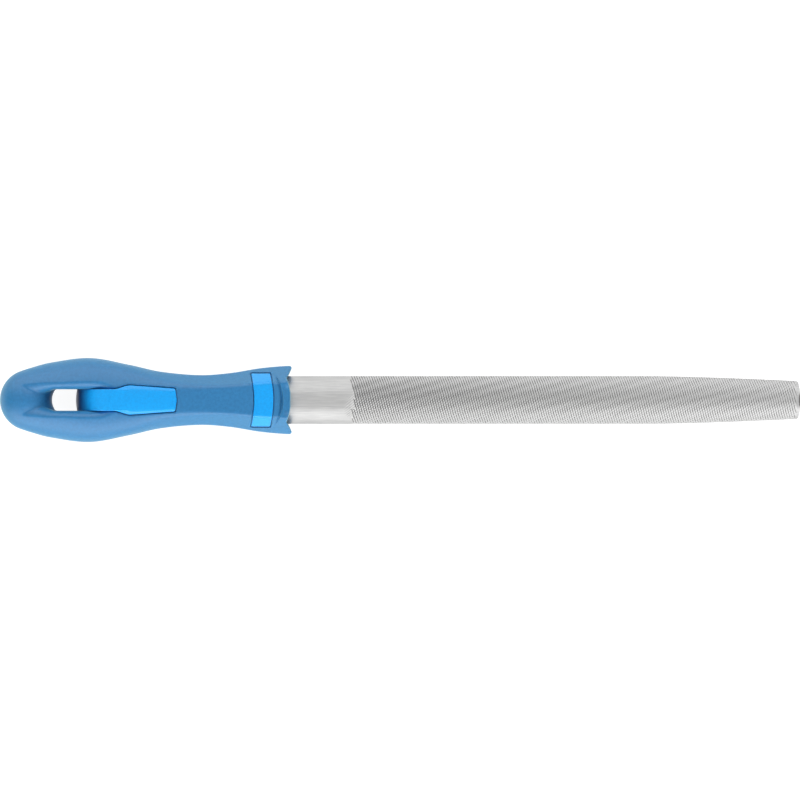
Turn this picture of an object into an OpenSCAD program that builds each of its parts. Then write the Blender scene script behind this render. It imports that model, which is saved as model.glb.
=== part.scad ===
// Half-round hand file with a push-on plastic handle, in millimetres.
// The blade points along +X and its curved back looks up. The origin is on the
// bench, under the middle of the file, and the bulb of the handle touches the bench.
//
// Inside the modules, x is the distance from the butt end of the handle and
// z is the height over the handle's axis. place() brings that to the origin.

/* [Whole file] */
// Length from the butt end of the handle to the tip of the blade
overall_l = 314; // [300:1:330]

/* [Blade] */
// Width of the blade over its parallel part
blade_w = 18.8; // [17:0.1:21]
// Width of the blade at its blunt tip
tip_w = 14.8; // [12:0.1:17]
// Thickness from the flat side to the crown of the curved back
blade_t = 5.8; // [5:0.1:6.5]
// Thickness at the tip
tip_t = 5; // [4:0.1:5.8]
// Height of the narrow edge between the flat side and the back
edge_h = 0.4; // [0.3:0.05:0.6]
// Length of the tapered end of the blade
taper_l = 60; // [40:1:80]
// Radius of the tip's corners, seen from above
corner_r = 1.3; // [0.8:0.1:2]
// How far the middle of the blunt tip stands forward of its sides
tip_bow = 0.5; // [0.2:0.1:1]
// Length of the small bevel round the blunt tip
tip_bevel = 0.7; // [0.3:0.1:1]
// Smooth length that shows between the handle and the first teeth
heel_l = 25; // [15:0.5:30]
// How far the heel of the blade sits inside the lip of the handle
heel_seat = 2.9; // [2:0.1:4]

/* [Teeth] */
// Distance from tooth to tooth of the overcut, along the blade
tooth_pitch = 0.96; // [0.9:0.02:1.6]
// Depth of a tooth on the curved back
tooth_depth = 0.34; // [0.2:0.02:0.4]
// Angle of the overcut from straight across the blade
overcut_lean = 14.3; // [0:0.1:18]
// Share of a tooth that rises gently, before the steep side that cuts
tooth_back = 0.8; // [0.6:0.05:0.9]

/* [Tang] */
// Length of the tang behind the heel
tang_l = 59; // [50:1:62]
// Width of the tang behind its shoulders
tang_w = 9.4; // [8:0.1:11]
// Width of the tang at its point
point_w = 3.2; // [2.5:0.1:4]
// Thickness of the tang at its point
point_t = 2.6; // [2:0.1:3.5]

/* [Handle] */
// Length of the handle to the tips of its finger guard
handle_l = 114.3; // [110:0.5:118]
// Greatest width, over the bulb
bulb_w = 33; // [30:0.5:36]
// Where the bulb is widest
bulb_x = 35.3; // [33:0.1:38]
// Radius of the butt end, seen from above
butt_r = 12; // [11:0.5:13]
// Width of the waist, over two corners of its hexagon
neck_w = 19.6; // [18:0.1:22]
// Where the waist is narrowest
neck_x = 78.5; // [76:0.5:81]
// Width over the finger guard
guard_w = 27; // [25:0.5:29]
// Thickness of the rounded bar at the butt
bar_t = 15.4; // [14:0.1:16]
// How far the level flats sink along their middle, as thick mouldings do when they cool
sink = 0.05; // [0.02:0.01:0.1]

/* [Hanging hole] */
// Width of the hole
hole_w = 8.4; // [7:0.1:9]
// Where the hole starts, behind the rounded bar of the butt
hole_x = 20.4; // [19:0.1:22]
// Length of the hole
hole_l = 9.4; // [8:0.1:11]
// Depth of the rounding along the rim of the hole
rim_depth = 3.6; // [2:0.1:5]

/* [Bright core] */
// How far the pad and the size band stand over the grip
proud = 0.15; // [0.1:0.05:0.4]
// Widest part of the pad
pad_w = 11.5; // [10:0.1:12.5]
// Where the pad ends, towards the blade
pad_end = 69.5; // [66:0.1:71]
// Width of the size band, across the handle
band_w = 20.8; // [18:0.1:22]
// Length of the size band, along the handle
band_l = 7.5; // [6:0.1:8]
// Width of the open line around the pad and the band
line_w = 0.2; // [0.1:0.05:0.4]
// Depth of that line
line_depth = 0.5; // [0.3:0.1:0.8]

/* [Hidden] */

lip_x = handle_l - 0.4;          // crown of the front lip
mouth_x = lip_x - heel_seat;     // where the blade's heel seats in the handle
cut_x = lip_x + heel_l;          // first tooth of the overcut
roll_x = hole_x + hole_l;        // front end of the hanging hole
form_end = handle_l + 1.7;       // where the handle's form ends, past the lip
around = 30;                     // points around a section of the handle
through = 60;                    // longer than any cut through the handle

module place() { translate([-overall_l / 2, 0, rest_h]) children(); }

// ---- smooth curve through [x, value] pairs ----
function slope(tab, i) =
    let (a = max(i - 1, 0), b = min(i + 1, len(tab) - 1))
    (tab[b][1] - tab[a][1]) / (tab[b][0] - tab[a][0]);
function curve(tab, x) =
    let (last = len(tab) - 2,
         i = max([0, for (k = [0:last]) if (tab[k][0] <= x) k]),
         w = tab[i + 1][0] - tab[i][0],
         t = (x - tab[i][0]) / w)
    (2*t^3 - 3*t^2 + 1) * tab[i][1] + (t^3 - 2*t^2 + t) * w * slope(tab, i)
    + (3*t^2 - 2*t^3) * tab[i + 1][1] + (t^3 - t^2) * w * slope(tab, i + 1);

// ---- solid through rings that hold the same number of points ----
// Each ring runs anticlockwise as seen from the far end. A folded ring is one that
// isn't convex: its last point mirrors its first, and its ends are closed in strips.
module skin(rings, folded = false) {
    n = len(rings[0]);
    last = len(rings) - 1;
    points = [for (ring = rings) for (p = ring) p];
    sides = [for (i = [0:last - 1], j = [0:n - 1])
             let (a = i * n + j, b = i * n + (j + 1) % n)
             each [[a, b + n, b], [a, a + n, b + n]]];
    near = folded ? [for (j = [0:n / 2 - 2]) [j, j + 1, n - 2 - j, n - 1 - j]]
                  : [[for (j = [0:n - 1]) j]];
    far = [for (f = near) [for (k = [len(f) - 1:-1:0]) last * n + f[k]]];
    polyhedron(points, concat(sides, near, far));
}

// ================= handle: outer form =================
// Half widths seen from above: butt, bulb, waist and finger guard
nose_x = 0.65 * butt_r;
nose_half = sqrt(butt_r^2 - (butt_r - nose_x)^2);
outline = [
    [nose_x, nose_half],
    [11.8, 0.7625 * bulb_w / 2],
    [19.6, 0.888 * bulb_w / 2],
    [bulb_x, bulb_w / 2],
    [51, 0.836 * bulb_w / 2],
    [62.8, 1.14 * neck_w / 2],
    [neck_x, neck_w / 2],
    [90.3, 1.083 * neck_w / 2],
    [102, 0.925 * guard_w / 2],
    [111.5, 0.99 * guard_w / 2],
    [form_end, guard_w / 2]
];
// Thickness as a share of the width: oval bulb, regular hexagon at the waist
flatness = [[0, 0.78], [bulb_x, 0.8], [neck_x, 0.866], [104, 0.866], [form_end, 0.84]];
// Sharpness of the hexagon's corners: 2 is an oval, 40 is crisp
crispness = [[0, 2.1], [bulb_x, 2.3], [55, 4.5], [neck_x, 15], [90, 26], [form_end, 40]];

function half_w(x) = x < nose_x ? sqrt(butt_r^2 - (butt_r - x)^2) : curve(outline, x);
function half_t(x) = half_w(x) * curve(flatness, x);

sink_focus = 60;                 // keeps the sink to the middle of a flat
// Distance from the axis to the surface, in the direction that is angle t up from +Y.
// Six flats, of which the top and bottom ones lie level, run together by a power sum.
function reach(x, t) =
    let (p = curve(crispness, x), w = half_w(x), h = half_t(x),
         side = w * cos(30) * 2^(1 / p),
         top_part = h^-p - 2 * (0.5 / side)^p,
         flats = [for (k = [30, 150, 210, 330]) max(0, cos(t - k)) / side],
         total = [for (f = flats) f^p] * [1, 1, 1, 1] + top_part * abs(sin(t))^p)
    total^(-1 / p) - sink * abs(sin(t))^sink_focus;

function ring_at(x, grow) =
    [for (j = [0:around - 1])
     let (t = j * 360 / around, r = reach(x, t) + grow) [x, r * cos(t), r * sin(t)]];

// Rings crowd together on the round butt and are even from there on
butt_steps = [for (a = [9, 20, 32, 44, 57]) butt_r * (1 - cos(a))];
even_steps = [for (i = [0:26]) nose_x + (form_end - nose_x) * i / 26];

module handle_form(grow = 0, from = 0) {
    steps = [for (x = concat(butt_steps, even_steps)) if (x >= from) x];
    skin([for (x = steps) ring_at(x, grow)]);
}

// ================= handle: front lip and finger guard =================
lip_r = 22.5;
lip_straight = 3;                // half the straight middle of the lip
notch = [handle_l - 2, 8.8];     // where the lip meets the horn
horn_y = guard_w / 2 - 1.1;      // where the horn's front levels out
horn_bevel = 0.8;                // taken off its outer corner
soft_r = 0.5;                    // rounding of the plans' corners

module front_plan() {
    offset(r = soft_r) offset(r = -soft_r) {
        translate([-1, -guard_w]) square([notch[0] + 1, 2 * guard_w]);
        intersection() {
            translate([lip_x - sqrt(lip_r^2 - lip_straight^2), 0]) circle(lip_r, $fn = 90);
            translate([0, -notch[1]]) square([lip_x, 2 * notch[1]]);
        }
        for (s = [-1, 1])
            polygon([[notch[0] - 2, s * notch[1]], [notch[0], s * notch[1]],
                     [handle_l, s * horn_y], [handle_l, s * (guard_w / 2 - horn_bevel)],
                     [handle_l - horn_bevel, s * guard_w / 2],
                     [handle_l - horn_bevel, s * guard_w], [notch[0] - 2, s * guard_w]]);
    }
}

// Crescent behind the lip, where the guard rises from the facets
crescent_x = lip_x - 2.3;        // its middle, towards the blade
crescent_w = 1.4;                // its width there
crescent_front_r = 16.5;
crescent_back_r = 23.7;
module crescent_plan() {
    difference() {
        translate([crescent_x - crescent_front_r, 0]) circle(crescent_front_r, $fn = 96);
        translate([crescent_x - crescent_w - crescent_back_r, 0])
            circle(crescent_back_r, $fn = 120);
    }
}

// ================= handle: hanging hole with its scooped rim =================
scoop_from = 5;
scoop_to = 46.5;
// The rim of the scoop runs where this angle up from +Y meets the handle's surface
function rim_angle(x) = 52 + 0.37 * (x - 8);
// The file rests on the rims of its scoop, the thickest places of the bulb
rest_h = max([for (x = [scoop_from:0.5:scoop_to]) reach(x, rim_angle(x)) * sin(rim_angle(x))]);
// The rounding fades out where the rim runs into the pad
function rim_drop(x) = rim_depth * min(1, max(0.05, (scoop_to + 0.5 - x) / 9));

function scoop_ring(x) =
    let (t = rim_angle(x), r = reach(x, t), out = max(r * cos(t), hole_w / 2 + 0.05),
         top = r * sin(t), wall = hole_w / 2, drop = rim_drop(x),
         quarter = concat([[out, top + 8]],
                          [for (a = [0:22.5:90])
                           [out - (out - wall) * sin(a), top - drop * (1 - cos(a))]]))
    [for (p = quarter) [x, p[0], p[1]],
     for (i = [len(quarter) - 1:-1:0]) [x, quarter[i][0], -quarter[i][1]],
     for (p = quarter) [x, -p[0], -p[1]],
     for (i = [len(quarter) - 1:-1:0]) [x, -quarter[i][0], quarter[i][1]]];

module scoop() {
    skin([for (i = [0:14])
          let (ring = scoop_ring(scoop_from + (scoop_to - scoop_from) * i / 14))
          [for (j = [len(ring) - 1:-1:0]) ring[j]]], folded = true);
}

// Rounded bar of the butt, hollowed a little towards the hole
bar_x = 6.5;
bar_l = 18;
hollow_r = 6.8;
function hollow(y) = hollow_r - sqrt(hollow_r^2 - min(abs(y), hole_w / 2)^2);
function bar_ring(y) =
    [for (a = [0:12:348])
     let (front = a < 90 || a > 270, rx = front ? hole_x - bar_x + hollow(y) : bar_x - 0.1)
     [bar_x + rx * cos(a), y, bar_t / 2 * sin(a)]];
module butt_bar() {
    across = [for (i = [-4:4]) -i * hole_w / 8];
    skin([for (y = concat([bar_l / 2], across, [-bar_l / 2])) bar_ring(y)]);
}

// ================= handle: bright core =================
pad_x = 45.1;                    // where the rolled end comes up to the surface
pad_wide_x = 51.8;               // where the pad is widest
pad_end_w = 9;                   // its width at its blunt end
pad_flare = 0.35;                // how much wider it already is at the start of its flare
module pad_plan() {
    half = [[pad_x, hole_w / 2], [pad_x + 2.4, hole_w / 2 + pad_flare],
            [pad_wide_x, pad_w / 2], [pad_end - 0.6, pad_end_w / 2]];
    offset(r = soft_r) offset(r = -soft_r)
        polygon(concat(half, [[pad_end, 0]],
                       [for (i = [len(half) - 1:-1:0]) [half[i][0], -half[i][1]]]));
    translate([pad_x - 1, -hole_w / 2]) square([3, hole_w]);
}

// The band bends with the guard, so both of its long sides are arcs
band_r = 36;
band_x = 100.1;
module band_plan() {
    intersection() {
        difference() {
            translate([band_x + band_l - band_r, 0]) circle(band_r, $fn = 180);
            translate([band_x - band_r, 0]) circle(band_r, $fn = 180);
        }
        translate([band_x - band_l, -band_w / 2]) square([3 * band_l, band_w]);
    }
}

// Rolled end of the core: the front end of the hanging hole
roll_bow_r = 17.6;
roll_back_x = scoop_to + 4;      // where it has run into the spine
roll_back_h = 9;                 // half its height there
module rolled_end() {
    rise = half_t(pad_x) + 0.02;
    back = [for (a = [90:7.5:270]) [pad_x + (pad_x - roll_x) * cos(a), rise * sin(a)]];
    intersection() {
        rotate([90, 0, 0]) linear_extrude(hole_w, center = true)
            polygon(concat(back, [[roll_back_x, -roll_back_h], [roll_back_x, roll_back_h]]));
        linear_extrude(through, center = true)
            translate([roll_x + roll_bow_r, 0]) circle(roll_bow_r, $fn = 96);
    }
}

// Spine that holds the tang, a round bar with a waist
spine_r = [[scoop_to, 7.6], [60, 6.8], [neck_x, 6], [92, 6.6], [mouth_x, 8.2]];
module spine() {
    steps = [for (i = [0:8]) scoop_to + (mouth_x - scoop_to) * i / 8];
    rotate([0, 90, 0]) rotate_extrude($fn = 40)
        polygon(concat([[0, scoop_to]], [for (x = steps) [curve(spine_r, x), x]],
                       [[0, mouth_x]]));
}

module core_blank() {
    spine();
    rolled_end();
    intersection() {
        handle_form(proud, 40);
        linear_extrude(through, center = true) { pad_plan(); band_plan(); }
    }
}

module handle_core() {
    color("dodgerblue") place() difference() {
        core_blank();
        tang_form();
    }
}

// ================= handle: grip =================
module grip_shell() {
    difference() {
        intersection() {
            handle_form();
            linear_extrude(through, center = true) front_plan();
        }
        difference() { scoop(); butt_bar(); }
    }
}

// Open line around the pad and the band, and the crescent behind the lip
module grip_lines() {
    difference() {
        linear_extrude(through, center = true) {
            offset(delta = line_w) pad_plan();
            offset(delta = line_w) band_plan();
            crescent_plan();
        }
        handle_form(-line_depth, 36);
    }
}

module handle_grip() {
    color("steelblue") place() difference() {
        grip_shell();
        core_blank();
        tang_form();
        grip_lines();
    }
}

// ================= blade with its tang =================
tip_x = overall_l;
heel_x = mouth_x;
shoulder_l = 7;
shoulder_x = heel_x - shoulder_l;
taper_x = tip_x - taper_l;
bevel_x = tip_x - tip_bevel;
tip_swing_l = 9;                 // over which the tooth lines swing straight at the tip
heel_swing_l = 14;               // and from straight, behind the first tooth
arc_steps = 7;

// Half width seen from above, along the tang, the blade, the rounded corners and the bowed tip
function blade_half(x) =
    x <= shoulder_x
    ? (point_w + (tang_w - point_w) * (x - heel_x + tang_l) / (tang_l - shoulder_l)) / 2
    : x <= heel_x
    ? (tang_w + (blade_w - tang_w) * sin(90 * (x - shoulder_x) / shoulder_l)) / 2
    : let (t = max(0, (x - taper_x) / taper_l),
           w = (blade_w - (blade_w - tip_w) * t^1.5) / 2,
           over = min(corner_r, max(0, x - (tip_x - corner_r))),
           bowed = max(0.4, sqrt(max(0, tip_x - x) / tip_bow)))
      min(w - corner_r + sqrt(corner_r^2 - over^2), w * bowed);

// Thickness along the same way
function blade_thick(x) =
    x <= heel_x ? point_t + (blade_t - point_t) * (x - heel_x + tang_l) / tang_l
    : blade_t - (blade_t - tip_t) * max(0, (x - taper_x) / taper_l)^1.5
      - max(0, x - bevel_x);

// The tang is a rectangle: its crown is nearly level, and the back's is a true arc
function crown_share(x) = min(1, max(0.06, (x - shoulder_x) / shoulder_l));

// One section: points over the back from +Y to -Y, then the two of the flat side.
// The teeth are cut square to the back, so the ring leans by the length of arc.
function blade_ring(x, depth, lean) =
    let (w = blade_half(x), t = blade_thick(x), base = -t / 2,
         crown = (t - edge_h) * crown_share(x),
         edge = base + t - crown,
         r = (w^2 + crown^2) / (2 * crown),
         half_a = asin(min(1, w / r)),
         shift = tan(overcut_lean) * lean)
    concat(
        [for (j = [0:arc_steps])
         let (a = half_a * (1 - 2 * j / arc_steps),
              d = depth * (j == 0 || j == arc_steps ? 0.4 : 1))
         [x - shift * r * a * PI / 180,
          (r - d) * sin(a),
          edge + crown - r + (r - d) * cos(a)]],
        [for (s = [-1, 1])
         [x - shift * s * r * half_a * PI / 180, s * w, base + 0.7 * depth]]);

tooth_count = floor((bevel_x - 0.2 - cut_x) / tooth_pitch);
// The rings swing from straight across at the heel and the tip to the overcut's lean
function lean_at(x) =
    min(1, max(0, (x - heel_x) / heel_swing_l), max(0, (tip_x - x) / tip_swing_l));

tang_steps = [heel_x - tang_l, shoulder_x, shoulder_x + 2, shoulder_x + 4.5, heel_x];
heel_steps = [heel_x + 8, cut_x - 4, cut_x - 1];
tip_steps = [for (share = [1, 0.35, 0.14, 0]) tip_x - share * tip_bevel];

// What the handle leaves open for the tang and the heel
module tang_form() {
    skin([for (x = concat(tang_steps, [taper_x])) blade_ring(x, 0, 0)]);
}

module file_blade() {
    color("silver") place() skin(concat(
        [for (x = concat(tang_steps, heel_steps)) blade_ring(x, 0, lean_at(x))],
        [for (k = [0:tooth_count - 1], part = [0, 1])
         let (x = cut_x + (k + part * tooth_back) * tooth_pitch)
         blade_ring(x, part == 0 ? tooth_depth : 0, lean_at(x))],
        [for (x = tip_steps) blade_ring(x, 0, lean_at(x))]));
}

file_blade();
handle_core();
handle_grip();
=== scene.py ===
"""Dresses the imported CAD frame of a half-round file with a two-colour moulded handle.

Every piece is modelled in millimetres, with x from the butt end of the handle along its
axis, y across the file and z up from the axis. settle() then brings it to the frame.
"""

import math

import bmesh
import bpy
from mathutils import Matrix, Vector
from mathutils.bvhtree import BVHTree


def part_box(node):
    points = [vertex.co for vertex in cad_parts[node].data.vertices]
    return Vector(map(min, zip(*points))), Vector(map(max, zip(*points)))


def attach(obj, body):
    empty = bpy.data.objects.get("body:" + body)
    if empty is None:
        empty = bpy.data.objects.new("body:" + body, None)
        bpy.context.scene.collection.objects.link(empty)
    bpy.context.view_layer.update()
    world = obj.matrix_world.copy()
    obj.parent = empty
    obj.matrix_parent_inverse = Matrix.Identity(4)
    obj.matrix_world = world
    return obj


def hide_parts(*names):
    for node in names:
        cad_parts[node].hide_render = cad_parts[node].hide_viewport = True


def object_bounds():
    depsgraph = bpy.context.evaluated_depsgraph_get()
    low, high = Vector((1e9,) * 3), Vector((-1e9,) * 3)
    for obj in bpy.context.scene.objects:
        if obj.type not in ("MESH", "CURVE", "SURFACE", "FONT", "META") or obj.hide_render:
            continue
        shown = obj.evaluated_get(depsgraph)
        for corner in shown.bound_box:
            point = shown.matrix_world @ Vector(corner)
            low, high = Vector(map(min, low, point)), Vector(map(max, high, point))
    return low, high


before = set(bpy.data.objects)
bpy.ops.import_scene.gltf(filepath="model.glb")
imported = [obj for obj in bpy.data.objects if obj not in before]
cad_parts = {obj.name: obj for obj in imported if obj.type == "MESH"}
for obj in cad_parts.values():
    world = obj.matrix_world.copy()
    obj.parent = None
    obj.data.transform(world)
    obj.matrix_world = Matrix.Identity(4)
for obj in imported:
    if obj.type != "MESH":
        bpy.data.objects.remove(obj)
cad_low, cad_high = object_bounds()
grip_low, grip_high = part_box("handle_grip")
blade_low, blade_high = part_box("file_blade")

# ======================= image points =======================
# Left and right are x, top and bottom are y, the others are x, y.
IMAGE_W = 800
IMAGE_H = 800
IMAGE_POINTS = {
    "left": 0,
    "right": 800,
    "top": 358,
    "bottom": 442,
    "hole_butt_side": (51.7, 400),
    "hole_blade_side": (75.9, 400),
    "pad_blade_end": (177, 400.7),
    "band_butt_corner": (251.5, 374.5),
    "band_blade_corner": (270, 428),
    "upper_horn": (291, 368),
    "lower_horn": (291.5, 432),
    "lip_middle": (290.3, 400),
    "heel_upper_edge": (320, 376),
    "heel_lower_edge": (320, 424),
    "tip_upper_edge": (780, 380.2),
    "tip_lower_edge": (780, 419.4),
}

# ======================= sizes in millimetres =======================
MM = 0.001
OVERALL_L = (cad_high.x - cad_low.x) / MM
HANDLE_L = (grip_high.x - grip_low.x) / MM
BULB_W = (grip_high.y - grip_low.y) / MM
BLADE_W = (blade_high.y - blade_low.y) / MM
AXIS_H = (grip_high.z + grip_low.z) / 2 / MM

# blade
BLADE_T = 5.8
TIP_W = 14.8
TIP_T = 5.0
TAPER_L = 60
TIP_CORNER_R = 1.3
TIP_BOW = 0.5
TIP_BEVEL = 0.7
EDGE_H = 0.4
HEEL_X = HANDLE_L - 3.3
SHOULDER_L = 7
TANG_L = 59
TANG_W = 9.4
TANG_ROOT_T = 5.0
TANG_END_W = 3.2
TANG_END_T = 2.6
CUT_X = HANDLE_L + 25
TEETH_STEEL_X = CUT_X - 1.5

# the two cuts, with pitches measured along the blade
OVERCUT_PITCH = 0.96
OVERCUT_LEAN = math.radians(14.3)
OVERCUT_DEPTH_AT_HEEL = 0.30
OVERCUT_DEPTH_AT_TIP = 0.22
# the chisel lands on one side first, which leaves it cut the deeper of the two, with the
# narrower backs
EARLY_SIDE_DEPTH = 1.15
LATE_SIDE_DEPTH = 0.55
EARLY_SIDE_BACK = -0.08
LATE_SIDE_BACK = 0.05
SIDES_APART = 20
OVERCUT_BACK_AT_HEEL = 0.66
OVERCUT_BACK_AT_TIP = 0.76
# share of its depth that the overcut keeps at the blade's edges
OVERCUT_AT_EDGE = 0.4
UPCUT_PITCH_AT_HEEL = 1.28
UPCUT_PITCH_AT_TIP = 1.56
UPCUT_LEAN = math.radians(48.5)
UPCUT_DEPTH = 0.1
# the upcut runs in ahead of the overcut over part of the back's arc, and deeper there
RUN_IN_L = 4.6
RUN_IN_FROM = -7
RUN_IN_TO = 2
RUN_IN_DEPTH = 2.4
RUN_IN_FADE = 3
FLAT_SIDE_DEPTH = 0.8
# courses of the overcut: from this arc upwards, how many lines later it starts
COURSES = [(-99, -3), (-8, -2), (-3.6, 0), (0.5, 1), (9.2, 2)]
# half the length of arc that the cutting lattice covers, a little past both edges
CUT_HALF = 12.6
# bands along which neighbouring courses overlap, and how much wider they make a gullet
BAND_STEP_X = 12.6
BAND_STEP_Y = 3.7
BAND_SHARE = 0.06

# handle
BUTT_R = 12
BULB_X = 35.3
NECK_W = 19.6
NECK_X = 78.5
GUARD_W = 27
FORM_END = HANDLE_L + 1.7
HOLE_W = 8.4
HOLE_X = 20.4
HOLE_L = 9.4
SLOT_POINT_X = 8
SLOT_POINT_L = 13.5
SLOT_POINT_W = 0.8
# power by which the slot opens from its point
SLOT_FLARE = 1.6
# degrees up from the side at which the rim's crest runs, and how they change along it
RIM_TURN = 52
RIM_TURN_MAX = 58.5
RIM_TURN_PER_MM = 0.37
RIM_CLOSES_X = 41
RIM_CLOSES_PER_MM = 1.6
RIM_SLOPE = 1.3
RIM_FADE = 9
RIM_LEVEL = 0.2
SCOOP_FROM = 5
SCOOP_TO = 46.5
BAR_X = 8.5
BAR_L = 18
BAR_T = 18.8
BAR_BACK = 6.4
BAR_HOLLOW_R = 6.8
BAR_DOME = 0.06
BAR_DOME_X = 6
BAR_DOME_FADE = 5
LIP_R = 22.5
LIP_STRAIGHT = 3
LIP_X = HANDLE_L - 0.4
LIP_FALL = 0.5
LIP_FALL_L = 2.5
LIP_FALL_HALF = 6.8
LIP_FALL_FADE = 2
ROUNDED_OFF = 0.35
NOTCH_X = HANDLE_L - 2
NOTCH_Y = 8.8
HORN_Y = GUARD_W / 2 - 1.1
HORN_R = 1.0
# power by which the front edge sweeps forward to the horn
HORN_SWEEP = 0.8
PLAN_HALF = 18
COVE_X = HANDLE_L - 2.7
COVE_W = 3.4
COVE_DEPTH = 0.9
CREASE_W = 1.0
CREASE_HALF = 10.8
CREASE_FLOOR = 1.6
COVE_FRONT_R = 16.5
COVE_BACK_R = 60

# cutters stand on a foot below the handle and reach right through it
FOOT = -30
THROUGH = 60
# how far the grip stays open above the core's windows, and its play round the blade
OPEN_ABOVE = 3
BLADE_PLAY = 0.1

# bright core
PROUD = 0.15
# where the core's colour is painted navy as painted shade in the hole, and where it is azure again
ROLL_PAINTED_SHADE_X = 29.8
ROLL_SHADE_CLEAR_X = 37.5
ROLL_R = 17.6
PAD_X = 45.1
PAD_WIDE_X = 51.8
PAD_END = 69.85
PAD_END_BOW = 0.6
PAD_W = 11.5
PAD_END_W = 9
PAD_CORNER = 0.5
PAD_CORNER_SHARE = 0.025
PAD_EDGE_W = 1.8
PAD_EDGE_DROP = 0.4
PAD_EDGE_FADE = 6
BAND_X = 100.1
BAND_L = 7.5
BAND_W = 20.8
BAND_R = 36
GAP = 0.32
GAP_DEPTH = 1.2
# rounding of every moulded edge: a fine even mesh, smoothed and then thinned
CORE_VOXEL = 0.26
GRIP_VOXEL = 0.3
ROUNDS = 3
THINNED = 0.5


# ======================= the handle's form =======================
NOSE_X = 0.65 * BUTT_R
NOSE_HALF = math.sqrt(BUTT_R**2 - (BUTT_R - NOSE_X) ** 2)
HALF_WIDTHS = [
    (NOSE_X, NOSE_HALF),
    (11.8, 0.7625 * BULB_W / 2),
    (19.6, 0.888 * BULB_W / 2),
    (BULB_X, BULB_W / 2),
    (51, 0.836 * BULB_W / 2),
    (62.8, 1.14 * NECK_W / 2),
    (NECK_X, NECK_W / 2),
    (90.3, 1.083 * NECK_W / 2),
    (102, 0.925 * GUARD_W / 2),
    (111.5, 0.99 * GUARD_W / 2),
    (FORM_END, GUARD_W / 2),
]
# thickness as a share of the width: an oval bulb and a regular hexagon at the waist
FLATNESS = [(0, 0.78), (BULB_X, 0.8), (NECK_X, 0.866), (104, 0.866), (FORM_END, 0.84)]
# sharpness of the hexagon's corners: 2 is an oval, 40 is crisp
CRISPNESS = [(0, 2.1), (BULB_X, 2.3), (55, 4.5), (NECK_X, 15), (90, 26), (FORM_END, 40)]
SIDE_FLATS = [math.radians(a) for a in (30, 150, 210, 330)]
# radius of the core's round middle
SPINE_RADII = [(46, 7.6), (60, 6.8), (NECK_X, 6), (92, 6.6), (HEEL_X + 1, 8.2)]


def curve(table, x):
    """The smooth curve through a table of (x, value) points."""

    def slope(i):
        a = max(i - 1, 0)
        b = min(i + 1, len(table) - 1)
        return (table[b][1] - table[a][1]) / (table[b][0] - table[a][0])

    i = max([0] + [k for k in range(len(table) - 1) if table[k][0] <= x])
    width = table[i + 1][0] - table[i][0]
    t = (x - table[i][0]) / width
    return (
        (2 * t**3 - 3 * t**2 + 1) * table[i][1]
        + (t**3 - 2 * t**2 + t) * width * slope(i)
        + (3 * t**2 - 2 * t**3) * table[i + 1][1]
        + (t**3 - t**2) * width * slope(i + 1)
    )


def mix(a, b, share):
    return a + (b - a) * share


def clamp(value, low=0.0, high=1.0):
    return min(high, max(low, value))


def half_width(x):
    if x < NOSE_X:
        return math.sqrt(max(0, BUTT_R**2 - (BUTT_R - x) ** 2))
    return curve(HALF_WIDTHS, x)


def half_height(x):
    return half_width(x) * curve(FLATNESS, x)


class Section:
    """The handle's section at x: six flats run together by a power sum."""

    def __init__(self, x):
        self.power = curve(CRISPNESS, x)
        self.side = half_width(x) * math.cos(math.radians(30)) * 2 ** (1 / self.power)
        corner = 2 * (0.5 / self.side) ** self.power
        self.level = half_height(x) ** -self.power - corner

    def reach(self, angle):
        """Distance from the axis to the surface, at this angle up from +Y."""
        total = self.level * abs(math.sin(angle)) ** self.power
        for flat in SIDE_FLATS:
            total += (max(0, math.cos(angle - flat)) / self.side) ** self.power
        return total ** (-1 / self.power)


def front_dip(x, y):
    """Depth of the crescent cove behind the front lip, and of the lip's fall before it."""
    front = COVE_FRONT_R - math.hypot(x - COVE_X + COVE_FRONT_R, y)
    back = math.hypot(x - COVE_X + COVE_W + COVE_BACK_R, y) - COVE_BACK_R
    if front <= 0 and x > COVE_X - 2:
        return LIP_FALL * min(LIP_FALL_L, -front) * clamp((LIP_FALL_HALF - abs(y)) / LIP_FALL_FADE)
    if front <= 0 or back <= 0:
        return 0
    return COVE_DEPTH * min(1, (front + back) / COVE_W) * back / (front + back)


# ======================= making solids =======================
def settle(bm):
    """From millimetres along the handle's axis to metres in the frame."""
    bmesh.ops.scale(bm, verts=bm.verts, vec=(MM, MM, MM))
    bmesh.ops.translate(bm, verts=bm.verts, vec=(cad_low.x, 0, AXIS_H * MM))


def new_object(name, bm):
    mesh = bpy.data.meshes.new(name)
    bm.to_mesh(mesh)
    bm.free()
    obj = bpy.data.objects.new(name, mesh)
    bpy.context.collection.objects.link(obj)
    return obj


def swept(name, along, across, where, sweep):
    """A sheet with along by across fields, whose corners run from 0 to 1, laid out by
    where(u, v) and swept into a solid."""
    bm = bmesh.new()
    bmesh.ops.create_grid(bm, x_segments=along, y_segments=across, size=0.5)
    for v in bm.verts:
        v.co = Vector(where(v.co.x + 0.5, v.co.y + 0.5))
    top = bmesh.ops.extrude_face_region(bm, geom=bm.faces[:])
    moved = [g for g in top["geom"] if isinstance(g, bmesh.types.BMVert)]
    bmesh.ops.translate(bm, verts=moved, vec=sweep)
    bmesh.ops.recalc_face_normals(bm, faces=bm.faces)
    return new_object(name, bm)


def tube(name, along, around, where):
    """A closed tube: a sheet wrapped round by where(u, angle), with its ends filled."""
    bm = bmesh.new()
    bmesh.ops.create_grid(bm, x_segments=along, y_segments=around, size=0.5)
    for v in bm.verts:
        v.co = Vector(where(v.co.x + 0.5, (v.co.y + 0.5) * math.tau))
    bmesh.ops.remove_doubles(bm, verts=bm.verts, dist=1e-4)
    bmesh.ops.holes_fill(bm, edges=bm.edges)
    bmesh.ops.recalc_face_normals(bm, faces=bm.faces)
    return new_object(name, bm)


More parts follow.
